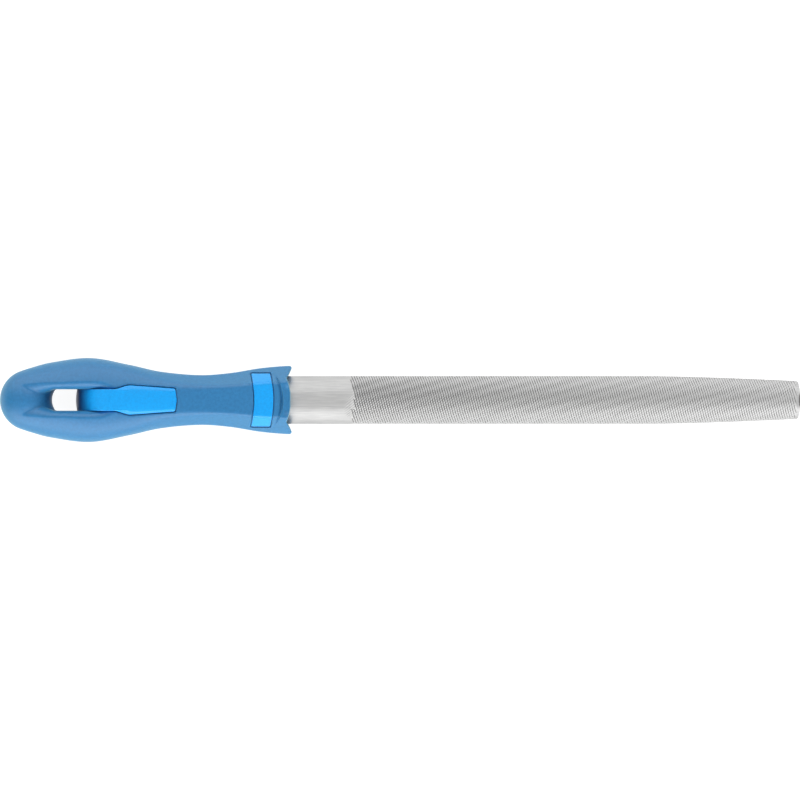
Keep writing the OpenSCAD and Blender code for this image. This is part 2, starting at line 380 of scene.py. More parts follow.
def bake(obj):
    """Applies the object's modifiers."""
    depsgraph = bpy.context.evaluated_depsgraph_get()
    mesh = bpy.data.meshes.new_from_object(obj.evaluated_get(depsgraph))
    obj.modifiers.clear()
    obj.data = mesh


def combine(base, operation, *others):
    """Joins, cuts or intersects a solid with others, which are used up."""
    for other in others:
        step = base.modifiers.new(other.name, "BOOLEAN")
        step.operation = operation
        step.solver = "MANIFOLD"
        step.object = other
    bake(base)
    for other in others:
        bpy.data.objects.remove(other)
    return base


def soften(obj, voxel):
    """Rounds every edge a little, as a mould's polished cavity does."""
    remesh = obj.modifiers.new("even mesh", "REMESH")
    remesh.mode = "VOXEL"
    remesh.voxel_size = voxel
    smooth = obj.modifiers.new("rounding", "SMOOTH")
    smooth.factor = 0.5
    smooth.iterations = ROUNDS
    thin = obj.modifiers.new("fewer faces", "DECIMATE")
    thin.ratio = THINNED
    bake(obj)


def finish_piece(obj, node, materials, smooth=True):
    """Brings a piece to the frame, gives it its finish and lets it stand for its node."""
    bm = bmesh.new()
    bm.from_mesh(obj.data)
    settle(bm)
    for face in bm.faces:
        face.smooth = smooth
    bm.to_mesh(obj.data)
    bm.free()
    obj.data.materials.clear()
    for material in materials:
        obj.data.materials.append(material)
    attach(obj, "root")
    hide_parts(node)


# ======================= materials =======================
def linear(hex_colour):
    """An sRGB hex colour as linear RGBA."""
    values = [int(hex_colour[i : i + 2], 16) / 255 for i in (1, 3, 5)]
    return [v / 12.92 if v <= 0.04045 else ((v + 0.055) / 1.055) ** 2.4 for v in values] + [1]


def add_node(owner, kind, settings=None, links=None, outputs=None):
    """Adds a node to a material or to the world. settings sets its properties or sockets,
    links feeds its sockets from (node, output) pairs, and outputs says which socket of
    which node it feeds."""
    node = owner.node_tree.nodes.new(kind)
    for key, value in (settings or {}).items():
        if key in node.inputs:
            node.inputs[key].default_value = value
        else:
            setattr(node, key, value)
    for key, (source, output) in (links or {}).items():
        owner.node_tree.links.new(source.outputs[output], node.inputs[key])
    for output, (target, key) in (outputs or {}).items():
        owner.node_tree.links.new(node.outputs[output], target.inputs[key])
    return node


def new_material(name, **settings):
    """A material and its shader, with constants set on the shader's own sockets."""
    material = bpy.data.materials.new(name)
    material.use_nodes = True
    shader = material.node_tree.nodes["Principled BSDF"]
    for key, value in settings.items():
        shader.inputs[key.replace("_", " ")].default_value = value
    return material, shader


def grain(material, size_mm, stretch=(1, 1, 1), detail=2.0):
    """Noise on object coordinates whose features measure about size_mm. Real grinding
    lines and moulded grain are a tenth as wide, too fine to show, so each is drawn as
    coarse as it needs to be."""
    place = add_node(material, "ShaderNodeTexCoord")
    turn = add_node(
        material, "ShaderNodeMapping", {"Scale": stretch}, {"Vector": (place, "Object")}
    )
    return add_node(
        material,
        "ShaderNodeTexNoise",
        {"Scale": 1 / (size_mm * MM), "Detail": detail, "Roughness": 0.6},
        {"Vector": (turn, "Vector")},
    )


def mottle(material, texture, dark, light, target, key):
    """Uneven colour: a texture that swings between two near shades."""
    spread = add_node(
        material,
        "ShaderNodeMapRange",
        {"From Min": 0.3, "From Max": 0.7},
        {"Value": (texture, "Fac")},
    )
    add_node(
        material,
        "ShaderNodeMixRGB",
        {"Color1": linear(dark), "Color2": linear(light)},
        {"Fac": (spread, "Result")},
        {"Color": (target, key)},
    )


def ground_tool_steel():
    """Hardened carbon tool steel, ground along its length and left bright: satin grey with
    faint long lines and small speckles that the grinding left."""
    material, shader = new_material(
        "ground_tool_steel", Base_Color=linear("#BDBDBC"), Metallic=1.0, Roughness=0.3
    )
    lines = grain(material, 0.5, stretch=(0.06, 1, 1), detail=3)
    add_node(
        material,
        "ShaderNodeBump",
        {"Distance": 0.006 * MM},
        {"Height": (lines, "Fac")},
        {"Normal": (shader, "Normal")},
    )
    mottle(material, lines, "#B5B5B5", "#C7C7C6", shader, "Base Color")
    speckle = grain(material, 0.9, detail=3)
    add_node(
        material,
        "ShaderNodeMapRange",
        {"To Min": 0.28, "To Max": 0.42},
        {"Value": (speckle, "Fac")},
        {"Result": (shader, "Roughness")},
    )
    return material


def cut_tool_steel():
    """The same steel where the chisel raised the teeth: their bright backs."""
    material, shader = new_material(
        "chisel_cut_tool_steel", Base_Color=linear("#CBCBCB"), Metallic=1.0, Roughness=0.4
    )
    torn = grain(material, 0.35, detail=2)
    add_node(
        material,
        "ShaderNodeMapRange",
        {"To Min": 0.28, "To Max": 0.46},
        {"Value": (torn, "Fac")},
        {"Result": (shader, "Roughness")},
    )
    return material


def painted_shade_steel():
    """Darker steel on the faces that lean towards the tip, in the gullets in front of the
    cutting edges and on the blunt end: painted shade."""
    material, shader = new_material(
        "painted_shade_steel", Base_Color=linear("#8A8988"), Metallic=0.4, Roughness=0.55
    )
    torn = grain(material, 0.3, detail=2)
    add_node(
        material,
        "ShaderNodeBump",
        {"Distance": 0.02 * MM},
        {"Height": (torn, "Fac")},
        {"Normal": (shader, "Normal")},
    )
    return material


def soft_grip_plastic():
    """Moulded thermoplastic elastomer over the core: satin steel blue with a fine eroded
    grain that gives it a cool bloom where it turns away."""
    material, shader = new_material(
        "moulded_soft_grip",
        Roughness=0.44,
        IOR=1.5,
        Specular_IOR_Level=0.55,
        Sheen_Weight=0.4,
        Sheen_Roughness=0.55,
        Sheen_Tint=linear("#B4F8EC"),
    )
    fine = grain(material, 0.45, detail=3)
    add_node(
        material,
        "ShaderNodeBump",
        {"Distance": 0.03 * MM},
        {"Height": (fine, "Fac")},
        {"Normal": (shader, "Normal")},
    )
    uneven = grain(material, 1.1, detail=4)
    mottle(material, uneven, "#136BA4", "#1D79B4", shader, "Base Color")
    return material


def core_plastic():
    """Glossy moulded polypropylene in a clear azure, with a faint orange peel and a pale
    bloom where it turns away. Where its end rolls into the hole, navy is painted into its
    colour as painted shade."""
    material, shader = new_material(
        "moulded_azure_core",
        Roughness=0.3,
        IOR=1.49,
        Specular_IOR_Level=0.42,
        Sheen_Weight=0.3,
        Sheen_Roughness=0.4,
    )
    place = add_node(material, "ShaderNodeTexCoord")
    split = add_node(material, "ShaderNodeSeparateXYZ", None, {"Vector": (place, "Object")})
    # painted shade: navy painted into the base colour over the rolled end, fading to azure along x
    rolled = {
        "interpolation_type": "SMOOTHSTEP",
        "From Min": cad_low.x + ROLL_PAINTED_SHADE_X * MM,
        "From Max": cad_low.x + ROLL_SHADE_CLEAR_X * MM,
    }
    share = add_node(material, "ShaderNodeMapRange", rolled, {"Value": (split, "X")})
    tone = add_node(
        material,
        "ShaderNodeMixRGB",
        {"Color1": linear("#001450")},
        {"Fac": (share, "Result")},
        {"Color": (shader, "Base Color")},
    )
    mottle(material, grain(material, 0.9, detail=4), "#009EF2", "#00AEFF", tone, "Color2")
    peel = grain(material, 1.2, detail=1)
    add_node(
        material,
        "ShaderNodeBump",
        {"Distance": 0.02 * MM},
        {"Height": (peel, "Fac")},
        {"Normal": (shader, "Normal")},
    )
    return material


# ======================= blade =======================
def taper(x):
    """How far the blade has narrowed towards its tip, from 0 to 1."""
    return clamp((x - (OVERALL_L - TAPER_L)) / TAPER_L) ** 1.5


def blade_half(x):
    return mix(BLADE_W, TIP_W, taper(x)) / 2


def blade_thick(x):
    return mix(BLADE_T, TIP_T, taper(x))


def back_radius(x):
    """Radius of the arc from edge to edge over the crown."""
    crown = blade_thick(x) - EDGE_H
    return (blade_half(x) ** 2 + crown**2) / (2 * crown)


EDGE_ANGLE = math.asin(blade_half(CUT_X) / back_radius(CUT_X))
LAST_TOOTH_X = OVERALL_L - 1.6
# how far a face's normal leans towards the tip: more on the blunt end and in a gullet, and
# less on the plain steel between the teeth
# past END_LEAN or GULLET_LEAN a face gets the darker steel of painted shade
END_LEAN = 0.5
GULLET_LEAN = 0.3
UNCUT_LEAN = 0.12


def blade_plan(u, v):
    """Shoulders, parallel part, taper, rounded corners and bowed end, with v across."""
    x = mix(HEEL_X - SHOULDER_L, OVERALL_L, 1 - (1 - u) ** 2)
    grown = math.sin(math.pi / 2 * clamp((x - HEEL_X + SHOULDER_L) / SHOULDER_L))
    half = mix(TANG_W / 2, blade_half(x), grown)
    over = clamp(x - (OVERALL_L - TIP_CORNER_R), 0, TIP_CORNER_R)
    half -= TIP_CORNER_R - math.sqrt(TIP_CORNER_R**2 - over**2)
    across = 2 * v - 1
    bow = TIP_BOW * across**2 * clamp((x - OVERALL_L + 3 * TIP_BOW) / (3 * TIP_BOW))
    return x - bow, half * across, -BLADE_T


def end_bevel(u, v):
    """Slanting face that takes the corner off the blunt end's crown."""
    x = mix(OVERALL_L - 3, OVERALL_L + 2, u)
    return x, mix(-12, 12, v), TIP_T / 2 - (x - OVERALL_L + TIP_BEVEL)


def upcut_line(b):
    """Where upcut line b crosses the blade's middle, from the first tooth on."""
    span = OVERALL_L - CUT_X
    growth = (UPCUT_PITCH_AT_TIP**2 - UPCUT_PITCH_AT_HEEL**2) / (2 * span)
    return UPCUT_PITCH_AT_HEEL * b + growth * b * b / 2


def overcut_starts(s, line):
    """True where the chisel's courses have begun: each is a strip of the back, and each
    begins at a line of its own."""
    return line >= [first for start, first in COURSES if s >= start][-1]


def early_share(s):
    """0 on the side where the chisel lands last and 1 where it lands first."""
    return clamp(0.5 + s / SIDES_APART)


def tooth_back(x, s, line):
    """The share of a tooth that its back takes. It grows towards the tip, where the
    gullets are narrower, and swings where the courses overlap."""
    share = clamp(line * OVERCUT_PITCH / (OVERALL_L - CUT_X))
    y = back_radius(x) * math.sin(s / back_radius(x))
    swing = math.sin(math.tau * (x / BAND_STEP_X - y / BAND_STEP_Y))
    side = mix(LATE_SIDE_BACK, EARLY_SIDE_BACK, early_share(s))
    return mix(OVERCUT_BACK_AT_HEEL, OVERCUT_BACK_AT_TIP, share) + BAND_SHARE * swing + side


def cut_depth(x, s, line, on_crest, in_upcut):
    """How deep the two cuts go at a corner of the lattice."""
    depth = 0
    if overcut_starts(s, line) and x < LAST_TOOTH_X and not on_crest:
        along = clamp((x - CUT_X) / (OVERALL_L - CUT_X))
        to_edge = back_radius(min(x, OVERALL_L)) * EDGE_ANGLE - abs(s)
        depth += mix(OVERCUT_DEPTH_AT_HEEL, OVERCUT_DEPTH_AT_TIP, along)
        depth *= clamp(to_edge, OVERCUT_AT_EDGE)
        depth *= mix(LATE_SIDE_DEPTH, EARLY_SIDE_DEPTH, early_share(s))
    if in_upcut:
        run_in = RUN_IN_L if RUN_IN_FROM < s < RUN_IN_TO else 1
        past = clamp((x - CUT_X + RUN_IN_FADE) / RUN_IN_FADE)
        deep = UPCUT_DEPTH * mix(RUN_IN_DEPTH, 1, past)
        depth += deep * clamp((x - CUT_X + run_in) / run_in) * clamp(LAST_TOOTH_X - x)
    return depth


def cut_face(name, sign, bend, mirrored):
    """One face of the blade as a solid under a lattice sheet, whose lines are the two cuts.
    The lattice has two corners to an overcut tooth and three to an upcut line."""
    lean_over = math.tan(OVERCUT_LEAN)
    lean_up = math.tan(UPCUT_LEAN)
    heel = HEEL_X - SHOULDER_L - 2 - CUT_X
    reach = CUT_HALF
    first_line = math.floor((heel - reach * lean_over) / OVERCUT_PITCH)
    last_line = math.ceil((OVERALL_L - CUT_X + reach * lean_over) / OVERCUT_PITCH) + 2
    first_up = math.floor((heel - reach * lean_up) / UPCUT_PITCH_AT_HEEL)
    last_up = math.ceil((OVERALL_L - CUT_X + reach * lean_up) / UPCUT_PITCH_AT_HEEL)
    lines = 2 * (last_line - first_line)
    ups = 3 * (last_up - first_up)
    bm = bmesh.new()
    bmesh.ops.create_grid(bm, x_segments=lines, y_segments=ups, size=0.5)
    outside = []
    for v in bm.verts:
        i = round((v.co.x + 0.5) * lines)
        j = round((v.co.y + 0.5) * ups)
        line = first_line + i // 2
        on_crest = i % 2 == 1
        up_share = (0, 0.3, 0.7)[j % 3]
        a = line * OVERCUT_PITCH
        b = upcut_line(first_up + j // 3 + up_share)
        s = (a - b) / (lean_over + lean_up)
        if on_crest:
            x = min(CUT_X + a - s * lean_over, OVERALL_L)
            a += tooth_back(x, s, line) * OVERCUT_PITCH
            s = (a - b) / (lean_over + lean_up)
        x = CUT_X + a - s * lean_over
        if abs(s) > reach or x < CUT_X + heel - 2 or x > OVERALL_L + 3:
            outside.append(v)
            continue
        depth = cut_depth(x, s, line, on_crest, up_share == 0)
        v.co = Vector(bend(x, -s if mirrored else s, depth))
    bmesh.ops.delete(bm, geom=outside, context="VERTS")
    far = bmesh.ops.extrude_face_region(bm, geom=bm.faces[:])
    moved = [g for g in far["geom"] if isinstance(g, bmesh.types.BMVert)]
    bmesh.ops.translate(bm, verts=moved, vec=(0, 0, -2.2 * BLADE_T * sign))
    bmesh.ops.recalc_face_normals(bm, faces=bm.faces)
    return new_object(name, bm)


def on_back(x, s, depth):
    """A place on the curved back: s is the length of arc from the crown."""
    radius = back_radius(min(x, OVERALL_L))
    angle = s / radius
    top = blade_thick(min(x, OVERALL_L)) / 2
    reach = radius - depth
    return x, reach * math.sin(angle), top - radius + reach * math.cos(angle)


def on_flat(x, s, depth):
    """A place on the flat side, s from its middle."""
    return x, s, -blade_thick(min(x, OVERALL_L)) / 2 + FLAT_SIDE_DEPTH * depth


def tang_plan(u, v):
    """Underside of the plain tapered tang."""
    x = mix(HEEL_X - TANG_L, HEEL_X - SHOULDER_L + 1, u)
    half = mix(TANG_END_W / 2, TANG_W / 2 - 0.3, u)
    return x, half * (2 * v - 1), -mix(TANG_END_T / 2, TANG_ROOT_T / 2, u)


def make_blade():
    """The blade between its two cut faces, with the tang. Teeth get steel of their own by how
    far a face leans, and faces that lean towards the tip get darker steel as painted shade."""
    blade = swept("file_blade_cut", 120, 8, blade_plan, (0, 0, 2 * BLADE_T))
    combine(blade, "INTERSECT", cut_face("back", 1, on_back, False))
    combine(blade, "INTERSECT", cut_face("flat", -1, on_flat, True))
    combine(blade, "DIFFERENCE", swept("end_bevel", 1, 1, end_bevel, (0, 0, 10)))
    combine(blade, "UNION", swept("tang", 6, 1, tang_plan, (0, 0, 4)))
    materials = [ground_tool_steel(), cut_tool_steel(), painted_shade_steel()]
    finish_piece(blade, "file_blade", materials, smooth=False)
    teeth_from = cad_low.x + TEETH_STEEL_X * MM
    teeth_to = cad_low.x + LAST_TOOTH_X * MM
    ground, cut, painted_shade_index = range(3)
    # faces that lean towards the tip get the darker steel: painted shade
    for face in blade.data.polygons:
        lean = face.normal.x
        if face.center.x > teeth_to and lean > END_LEAN:
            face.material_index = painted_shade_index
        elif not teeth_from < face.center.x < teeth_to or abs(lean) < UNCUT_LEAN:
            face.material_index = ground
        else:
            face.material_index = painted_shade_index if lean > GULLET_LEAN else cut
    return blade


# ======================= handle =======================
NOSE_SHARE = 0.12
NOSE_TURN = 57
LIP_SHARE = 0.8
LIP_RINGS_X = 99


def nose_x(degrees):
    """Where a ring of the round butt lies, at this angle round it."""
    return BUTT_R * (1 - math.cos(math.radians(degrees)))


def form_x(u):
    """Rings crowd together on the round butt and by the front lip."""
    if u < NOSE_SHARE:
        return nose_x(mix(3, NOSE_TURN, u / NOSE_SHARE))
    if u < LIP_SHARE:
        share = (u - NOSE_SHARE) / (LIP_SHARE - NOSE_SHARE)
        return mix(nose_x(NOSE_TURN), LIP_RINGS_X, share)
    return mix(LIP_RINGS_X, FORM_END, (u - LIP_SHARE) / (1 - LIP_SHARE))


def handle_form(name, grow=0.0, dip=None):
    """The whole outer form, without hole or windows. dip(x, y) lowers it."""
    rings = 300
    sections = {}

    def where(u, angle):
        i = round(u * rings)
        if i not in sections:
            sections[i] = Section(form_x(u))
        x = form_x(u)
        r = sections[i].reach(angle) + grow
        if dip:
            r -= dip(x, r * math.cos(angle))
        return x, r * math.cos(angle), r * math.sin(angle)

    return tube(name, rings, 180, where)


def front_plan(u, v):
    """Everything behind the lip and the horns of the finger guard."""
    y = abs(mix(-PLAN_HALF, PLAN_HALF, v))
    if y < NOTCH_Y:
        front = LIP_X - math.sqrt(LIP_R**2 - LIP_STRAIGHT**2)
        front += math.sqrt(LIP_R**2 - max(y, LIP_STRAIGHT) ** 2)
    else:
        front = mix(NOTCH_X, HANDLE_L, clamp((y - NOTCH_Y) / (HORN_Y - NOTCH_Y)) ** HORN_SWEEP)
    past = clamp(y - (GUARD_W / 2 - HORN_R), 0, HORN_R)
    front += ROUNDED_OFF - HORN_R + math.sqrt(HORN_R**2 - past**2)
    return mix(-2, front, u), mix(-PLAN_HALF, PLAN_HALF, v), FOOT


def rim_angle(x):
    """Angle up from +Y at which the rim's crest runs. It closes in over the hole's end."""
    turn = min(RIM_TURN + RIM_TURN_PER_MM * (x - SLOT_POINT_X), RIM_TURN_MAX)
    return math.radians(turn + RIM_CLOSES_PER_MM * max(0, x - RIM_CLOSES_X))


def slot_half(x):
    """Half the hole's width. Behind the bar of the butt the slot runs out in a V."""
    share = clamp((x - SLOT_POINT_X) / SLOT_POINT_L)
    return mix(SLOT_POINT_W / 2, HOLE_W / 2, share**SLOT_FLARE)


def trough(u, v):
    """Underside of the cutter that rounds the rim of the hanging hole: level at the crest
    and steeper and steeper down to the wall of the slot."""
    x = mix(SCOOP_FROM, SCOOP_TO, u)
    reach = Section(x).reach(rim_angle(x))
    wall = slot_half(x)
    out = max(reach * math.cos(rim_angle(x)), wall + 0.05)
    top = reach * math.sin(rim_angle(x))
    drop = RIM_SLOPE * (out - wall) * clamp((SCOOP_TO + 0.5 - x) / RIM_FADE, 0.05)
    across = 2 * v - 1
    if abs(across) < RIM_LEVEL:
        return x, across / RIM_LEVEL * wall, top - drop
    turn = math.pi / 2 * (1 - (abs(across) - RIM_LEVEL) / (1 - RIM_LEVEL))
    y = out - (out - wall) * math.sin(turn)
    return x, math.copysign(y, across), top - drop * (1 - math.cos(turn))


def mirrored_trough(u, v):
    x, y, z = trough(u, v)
    return x, y, -z


def slot_plan(u, v):
    """Plan of the slot from which the bar of the butt leaves the hanging hole open."""
    x = mix(SCOOP_FROM, SCOOP_TO, u)
    return x, slot_half(x) * (2 * v - 1), -20


def bar(u, angle):
    """The rounded bar of the butt, hollowed a little towards the hole."""
    y = mix(-BAR_L / 2, BAR_L / 2, u)
    hollow = BAR_HOLLOW_R - math.sqrt(BAR_HOLLOW_R**2 - min(abs(y), HOLE_W / 2) ** 2)
    rx = BAR_BACK if math.cos(angle) < 0 else HOLE_X - BAR_X + hollow
    x = BAR_X + rx * math.cos(angle)
    rise = BAR_T / 2 - BAR_DOME * y * y * clamp((x - BAR_DOME_X) / BAR_DOME_FADE)
    return x, y, rise * math.sin(angle)


def scoop_cutter():
    """The hanging hole and its scooped rims, less the bar of the butt."""
    cutter = swept("slot", 60, 1, slot_plan, (0, 0, 40))
    upper = swept("upper", 60, 60, trough, (0, 0, 20))
    lower = swept("lower", 60, 60, mirrored_trough, (0, 0, -20))
    combine(cutter, "UNION", upper, lower)
    return combine(cutter, "DIFFERENCE", tube("bar", 48, 72, bar))


def pad_half(x):
    """Half the pad's width, from the rolled end to its blunt end."""
    narrow = HOLE_W / 2
    if x < PAD_WIDE_X:
        share = clamp((x - PAD_X) / (PAD_WIDE_X - PAD_X))
        return mix(narrow, PAD_W / 2, share * share * (3 - 2 * share))
    share = clamp((x - PAD_WIDE_X) / (PAD_END - PAD_END_BOW - PAD_WIDE_X))
    return mix(PAD_W / 2, PAD_END_W / 2, share)


def pad_drop(x, y):
    """How far the pad's rounded edge falls below its middle."""
    if not PAD_X < x < PAD_END + 1:
        return 0
    near = clamp(min(pad_half(x) - abs(y), PAD_END - x) / PAD_EDGE_W)
    return PAD_EDGE_DROP * (1 - near) ** 2 * clamp((x - PAD_X) / PAD_EDGE_FADE)


def pad_plan(grow):
    """Plan of the pad, with a corner just taken off its blunt end."""

    def where(u, v):
        across = 2 * v - 1
        end = PAD_END - PAD_END_BOW * abs(across) + grow
        x = mix(PAD_X - 1 - grow, end, u)
        corner = PAD_CORNER * max(0, (u - 1 + PAD_CORNER_SHARE) / PAD_CORNER_SHARE) ** 2
        return x, (pad_half(x) + grow - corner) * across, FOOT

    return where


def band_plan(grow):
    """Plan of the size band, bowed towards the blade."""

    def where(u, v):
        y = (BAND_W / 2 + grow) * (2 * v - 1)
        arc = math.sqrt(BAND_R**2 - y**2) - BAND_R
        return mix(BAND_X - grow, BAND_X + BAND_L + grow, u) + arc, y, FOOT

    return where


def rolled_end(grow):
    """The core's end by the hanging hole, rolled over from one side to the other."""

    def where(u, angle):
        y = (HOLE_W / 2 + grow) * (2 * u - 1)
        nose = HOLE_X + HOLE_L + ROLL_R - math.sqrt(ROLL_R**2 - y**2)
        rise = half_height(PAD_X) + 0.02 + grow
        return PAD_X + (PAD_X - nose + grow) * math.cos(angle), y, rise * math.sin(angle)

    return tube("rolled_end", 12, 120, where)


def spine(grow):
    """The core's round middle inside the grip, which holds the tang."""

    def where(u, angle):
        x = mix(SCOOP_TO, HEEL_X, u)
        r = curve(SPINE_RADII, x) + grow
        return x, r * math.cos(angle), r * math.sin(angle)

    return tube("spine", 30, 64, where)


def window_columns(grow):
    """Upright columns over the pad and the size band."""
    columns = swept("handle_core_azure", 80, 8, pad_plan(grow), (0, 0, THROUGH))
    band = swept("band", 4, 40, band_plan(grow), (0, 0, THROUGH))
    return combine(columns, "UNION", band)


def core_blank(grow, proud):
    """The core's solid. With grow it is the room that the grip leaves for it."""
    form = handle_form("proud_form", proud, pad_drop)
    windows = combine(window_columns(grow), "INTERSECT", form)
    return combine(windows, "UNION", rolled_end(grow), spine(grow))


def crease_plan(u, v):
    """The crease at the foot of the front lip, along the front of the cove. It narrows
    towards both ends."""
    y = mix(-CREASE_HALF, CREASE_HALF, v)
    arc = math.sqrt(COVE_FRONT_R**2 - y**2) - COVE_FRONT_R
    width = CREASE_W * math.sqrt(1.05 - (2 * v - 1) ** 2)
    return mix(COVE_X - width, COVE_X, u) + arc, y, FOOT


def crease_rise(x, y):
    """The crease's floor comes up towards both ends."""
    return -CREASE_FLOOR * min(1, (y / CREASE_HALF) ** 2)


def gap_cutter():
    """Ring of air round the pad and the band, and the crease behind the lip."""
    rings = combine(window_columns(GAP), "DIFFERENCE", handle_form("gap_floor", -GAP_DEPTH))
    crease = swept("crease", 1, 80, crease_plan, (0, 0, THROUGH))
    combine(crease, "DIFFERENCE", handle_form("crease_floor", -CREASE_FLOOR, crease_rise))
    return combine(rings, "UNION", crease)


def blade_room(grow):
    """The slot in the front of the handle that takes the blade's heel."""
    front = HEEL_X + 20
    r = back_radius(front)
    edge = math.asin(min(1, BLADE_W / 2 / r))

    def where(u, v):
        x = mix(HEEL_X - 10, front, u)
        a = (2 * v - 1) * edge
        return x, (r + grow) * math.sin(a), BLADE_T / 2 - r + (r + grow) * math.cos(a)

    room = swept("room", 2, 40, where, (0, 0, -20))

    def under(u, v):
        return mix(50, 160, u), mix(-15, 15, v), -BLADE_T / 2 - grow

    return combine(room, "INTERSECT", swept("below", 1, 1, under, (0, 0, 20)))


def make_core():
    """The azure core: pad, size band, rolled end and the spine that joins them."""
    core = core_blank(0, PROUD)
    soften(core, CORE_VOXEL)
    finish_piece(core, "handle_core", [core_plastic()])
    return core


def make_grip():
    """The steel-blue moulding over the core, cut out for all that shows through it."""
    grip = handle_form("handle_grip_soft", dip=front_dip)
    combine(grip, "INTERSECT", swept("front", 1, 160, front_plan, (0, 0, THROUGH)))
    combine(grip, "DIFFERENCE", scoop_cutter())
    combine(grip, "DIFFERENCE", core_blank(0, OPEN_ABOVE))
    combine(grip, "DIFFERENCE", gap_cutter())
    combine(grip, "DIFFERENCE", blade_room(BLADE_PLAY))
    soften(grip, GRIP_VOXEL)
    finish_piece(grip, "handle_grip", [soft_grip_plastic()])
    return grip


# ======================= camera, light and floor =======================
# soft boxes: name, side of the file, height in metres and level
SOFTBOX_OFF = 1.0
SOFTBOX_L = 4.0
STEEL_LAMPS = [("steel_near", -1, 1.15, 0.67), ("steel_far", 1, 1.45, 0.3)]
HANDLE_LAMPS = [("handle_near", -1, 0.95, 3.1), ("handle_far", 1, 1.45, 1.7)]
# the white tent: its level as light, the share of it left at its two ends, and how far
# along X a direction points where it starts to darken and where it is darkest
TENT_LIGHT = 0.3
TENT_END = 0.06
TENT_FROM = 0.66
TENT_TO = 0.96
# the floor: its own glow and its paper as the camera and steel see them, which keep the
# file's shadow, and its paper as it lights the file
FLOOR_HALF = 3
FLOOR_GLOW = 0.92
FLOOR_PAPER = 0.28
FLOOR_LIGHT = 0.45
LENS = 200
SENSOR = 36
AIM = Vector(((cad_low.x + cad_high.x) / 2, 0, AXIS_H * MM))
FILLED = IMAGE_POINTS["right"] - IMAGE_POINTS["left"]


def make_camera():
    """Straight above, so far off that the file fills the width that it fills in the photo."""
    data = bpy.data.cameras.new("camera")
    data.lens = LENS
    data.sensor_width = SENSOR
    data.sensor_fit = "AUTO"
    camera = bpy.data.objects.new("camera", data)
    bpy.context.collection.objects.link(camera)
    distance = OVERALL_L * MM * LENS / SENSOR * IMAGE_W / FILLED
    camera.location = AIM + Vector((0, 0, distance))
    bpy.context.scene.camera = camera
    return camera


def add_softbox(name, side, height, level):
    """A long upright soft box beside the file, from the floor up. level is how bright its
    face is."""
    data = bpy.data.lights.new(name, "AREA")
    data.shape = "RECTANGLE"
    data.size = SOFTBOX_L
    data.size_y = height
    data.energy = level * math.pi * data.size * data.size_y
    lamp = bpy.data.objects.new(name, data)
    bpy.context.collection.objects.link(lamp)
    lamp.location = (0, side * SOFTBOX_OFF, height / 2)
    lamp.rotation_euler = Vector((0, -side, 0)).to_track_quat("-Z", "Y").to_euler()
    return lamp


def share_out(lamps, piece, state):
    """Keeps lamps for one piece, or off it, as a photo put together from two exposures
    does for bright steel and for the handle. Lamps of its own get no shadow from others."""
    shown = bpy.data.collections.new(state.lower() + "_" + piece.name)
    shown.objects.link(piece)
    shown.collection_objects[0].light_linking.link_state = state
    for lamp in lamps:
        lamp.light_linking.receiver_collection = shown
        if state == "INCLUDE":
            lamp.light_linking.blocker_collection = shown


def choose(owner, path, ways, first, second):
    """Shader first for the named kinds of ray, and second for the others."""
    picked = [(path, way) for way in ways]
    while len(picked) > 1:
        pair = {0: picked.pop(), 1: picked.pop()}
        both = add_node(owner, "ShaderNodeMath", {"operation": "MAXIMUM"}, pair)
        picked.append((both, "Value"))
    return add_node(
        owner, "ShaderNodeMixShader", None, {0: picked[0], 1: (second, 0), 2: (first, 0)}
    )


def make_world():
    """White where the camera sees it. As light and in reflections it is a white tent, open
    at the two ends of the file, where it is dark near the level."""
    world = bpy.data.worlds.new("world")
    bpy.context.scene.world = world
    world.use_nodes = True
    tree = world.node_tree
    seen = tree.nodes["Background"]
    seen.inputs["Color"].default_value = (1, 1, 1, 1)
    way = add_node(world, "ShaderNodeTexCoord")
    split = add_node(world, "ShaderNodeSeparateXYZ", None, {"Vector": (way, "Generated")})
    along = add_node(world, "ShaderNodeMath", {"operation": "ABSOLUTE"}, {0: (split, "X")})
    shade = {"interpolation_type": "SMOOTHSTEP", "From Min": TENT_FROM, "From Max": TENT_TO}
    tents = []
    for level in (TENT_LIGHT, 1):
        tone = add_node(
            world,
            "ShaderNodeMapRange",
            {**shade, "To Min": level, "To Max": TENT_END * level},
            {"Value": (along, "Value")},
        )
        tents.append(
            add_node(
                world,
                "ShaderNodeBackground",
                {"Color": (1, 1, 1, 1)},
                {"Strength": (tone, "Result")},
            )
        )
    path = add_node(world, "ShaderNodeLightPath")
    mirrored = choose(world, path, ["Is Glossy Ray", "Is Transmission Ray"], tents[1], tents[0])
    choice = choose(world, path, ["Is Camera Ray"], seen, mirrored)
    tree.links.new(choice.outputs[0], tree.nodes["World Output"].inputs["Surface"])


def make_floor():
    """A white sweep that takes a soft shadow."""
    bm = bmesh.new()
    bmesh.ops.create_grid(bm, x_segments=1, y_segments=1, size=FLOOR_HALF)
    floor = new_object("floor", bm)
    material, shader = new_material(
        "white_paper", Base_Color=[FLOOR_LIGHT] * 3 + [1], Roughness=0.9
    )
    tree = material.node_tree
    glow = add_node(material, "ShaderNodeEmission", {"Strength": FLOOR_GLOW})
    paper = add_node(material, "ShaderNodeBsdfDiffuse", {"Color": [FLOOR_PAPER] * 3 + [1]})
    seen = add_node(material, "ShaderNodeAddShader", None, {0: (glow, 0), 1: (paper, 0)})
    path = add_node(material, "ShaderNodeLightPath")
    ways = ["Is Camera Ray", "Is Glossy Ray", "Is Transmission Ray"]
    choice = choose(material, path, ways, seen, shader)
    tree.links.new(choice.outputs[0], tree.nodes["Material Output"].inputs["Surface"])
    floor.data.materials.append(material)


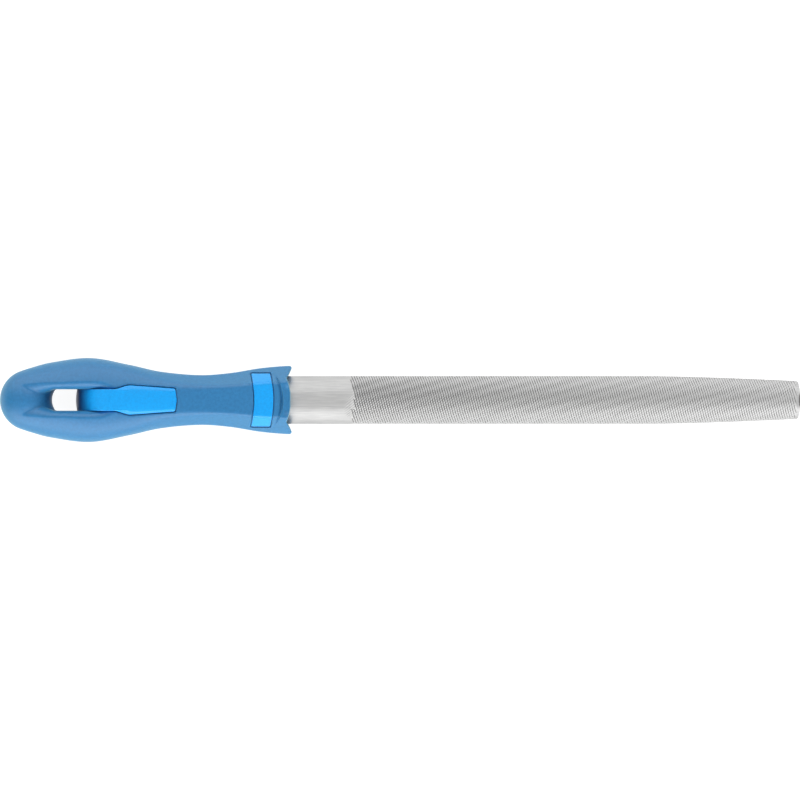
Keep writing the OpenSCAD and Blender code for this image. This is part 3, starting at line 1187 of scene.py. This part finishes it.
# ======================= where things show =======================
def image_place(camera, point):
    """Pixel x, y at which a place in the frame shows."""
    local = camera.matrix_world.inverted() @ point
    scale = LENS / SENSOR * max(IMAGE_W, IMAGE_H) / -local.z
    shift = max(IMAGE_W, IMAGE_H)
    return (
        IMAGE_W / 2 + local.x * scale - camera.data.shift_x * shift,
        IMAGE_H / 2 - local.y * scale + camera.data.shift_y * shift,
    )


class Shown:
    """The finished vertices of a piece that the camera sees, as pixel places."""

    def __init__(self, camera, piece, trees):
        eye = camera.matrix_world.translation
        self.places = []
        for v in piece.data.vertices:
            if v.normal.z <= 0:
                continue
            way = v.co - eye
            hits = [tree.ray_cast(eye, way) for tree in trees]
            near = min([h[3] for h in hits if h[0] is not None], default=way.length)
            if near > way.length - 2e-5:
                self.places.append(image_place(camera, v.co))

    def edge(self, side, around=None, room=(12, 12)):
        """The outermost place on a side, near a point where one is given."""
        axis, sign = {"left": (0, -1), "right": (0, 1), "top": (1, -1), "bottom": (1, 1)}[side]
        near = self.places
        if around:
            near = [p for p in near if all(abs(p[k] - around[k]) < room[k] for k in (0, 1))]
        return max(near, key=lambda p: sign * p[axis])


def write_points(camera, blade, core, grip):
    """Works out how far each thing shows from its image point, but keeps it nowhere. An edge
    is measured square to itself, and a corner in x and y."""
    bpy.context.view_layer.update()
    trees = []
    for piece in (blade, core, grip):
        corners = [v.co for v in piece.data.vertices]
        trees.append(BVHTree.FromPolygons(corners, [p.vertices for p in piece.data.polygons]))
    steel, bright, soft = [Shown(camera, o, trees) for o in (blade, core, grip)]
    points = IMAGE_POINTS
    offsets = {
        "left": soft.edge("left")[0] - points["left"],
        "right": steel.edge("right")[0] - points["right"],
        "top": soft.edge("top")[1] - points["top"],
        "bottom": soft.edge("bottom")[1] - points["bottom"],
    }
    edges = {
        "hole_butt_side": (soft, "right", (5, 1.5)),
        "hole_blade_side": (bright, "left", (5, 1.5)),
        "pad_blade_end": (bright, "right", (6, 3)),
        "lip_middle": (soft, "right", (5, 7)),
        "heel_upper_edge": (steel, "top", (3, 6)),
        "heel_lower_edge": (steel, "bottom", (3, 6)),
        "tip_upper_edge": (steel, "top", (3, 6)),
        "tip_lower_edge": (steel, "bottom", (3, 6)),
    }
    for name, (shown, side, room) in edges.items():
        axis = 0 if side in ("left", "right") else 1
        offsets[name] = shown.edge(side, points[name], room)[axis] - points[name][axis]
    corners = {
        "band_butt_corner": (bright, "left", "top"),
        "band_blade_corner": (bright, "right", "bottom"),
        "upper_horn": (soft, "right", "right"),
        "lower_horn": (soft, "right", "right"),
    }
    for name, (shown, *sides) in corners.items():
        offsets[name] = [
            shown.edge(side, points[name], (5, 5))[axis] - points[name][axis]
            for axis, side in enumerate(sides)
        ]


# ======================= the scene =======================
camera = make_camera()
make_world()
make_floor()
blade = make_blade()
share_out([add_softbox(*lamp) for lamp in STEEL_LAMPS], blade, "INCLUDE")
share_out([add_softbox(*lamp) for lamp in HANDLE_LAMPS], blade, "EXCLUDE")
core = make_core()
grip = make_grip()
bpy.context.scene.view_settings.view_transform = "Standard"
write_points(camera, blade, core, grip)
